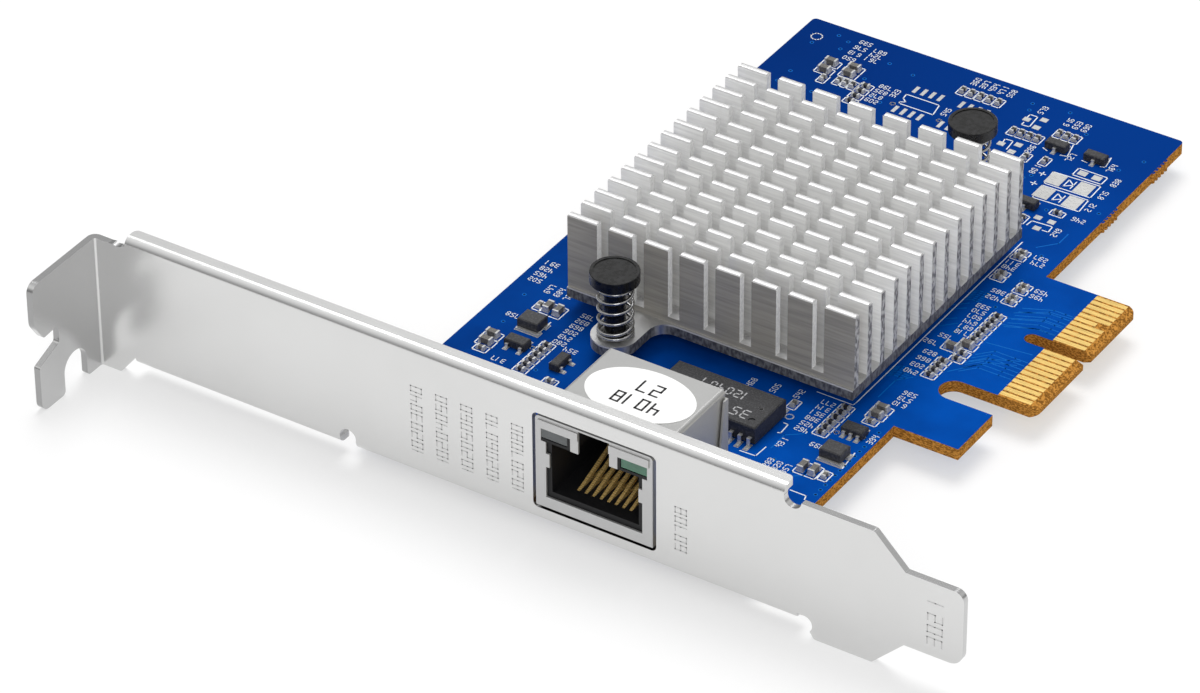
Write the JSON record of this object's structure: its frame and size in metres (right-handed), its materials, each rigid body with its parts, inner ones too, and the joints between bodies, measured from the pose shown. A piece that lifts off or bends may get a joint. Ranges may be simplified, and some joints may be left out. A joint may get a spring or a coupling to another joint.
{
  "type": "network interface card",
  "caption": "Short network card on a full-height bracket, with one jack, a pin-fin heat sink and an edge connector.",
  "frame": {"origin": "centre of the footprint, on the surface that the card lies on", "axes": "+X along the bracket from its screw tab to its tongue, +Y from the bracket into the card, +Z out of the board's component side"},
  "size_m": [0.12, 0.1184, 0.0198],
  "materials": {
    "bracket_steel": "bright zinc-plated sheet",
    "screw_steel": "plated steel",
    "blue_board": "blue solder mask over woven board",
    "gold_plating": "thin gold plating",
    "sink_aluminium": "satin extruded aluminium",
    "grey_pad": "soft thermal pad",
    "black_moulding": "matt black moulding",
    "spring_steel": "bright spring wire",
    "shield_sheet": "tin-plated sheet",
    "green_lens": "clear green plastic",
    "clear_lens": "clear plastic",
    "white_paper": "white label paper",
    "tinned_metal": "tinned metal",
    "dark_ferrite": "dark grey ferrite",
    "tan_ceramic": "brown ceramic",
    "resistor_black": "black glazed ceramic"
  },
  "bodies": {
    "root": {"bracket": "bracket_steel", "bracket_screws": "screw_steel", "circuit_board": "blue_board", "edge_contacts": "gold_plating", "heat_sink": "sink_aluminium", "thermal_pad": "grey_pad", "network_chip": "black_moulding", "push_pins": "black_moulding", "pin_springs": "spring_steel", "jack_shield": "shield_sheet", "jack_housing": "black_moulding", "jack_contacts": "gold_plating", "left_light_lens": "clear_lens", "right_light_lens": "green_lens", "inspection_sticker": "white_paper", "line_transformer": "black_moulding", "transformer_leads": "tinned_metal", "inductor_bodies": "dark_ferrite", "inductor_terminals": "tinned_metal", "left_regulator": "black_moulding", "left_regulator_leads": "tinned_metal", "right_regulator": "black_moulding", "right_regulator_leads": "tinned_metal", "transistor_bodies": "black_moulding", "transistor_leads": "tinned_metal", "capacitor_bodies": "tan_ceramic", "capacitor_end_caps": "tinned_metal", "resistor_bodies": "resistor_black", "resistor_end_caps": "tinned_metal", "bare_pads": "tinned_metal"}
  },
  "joints": []
}
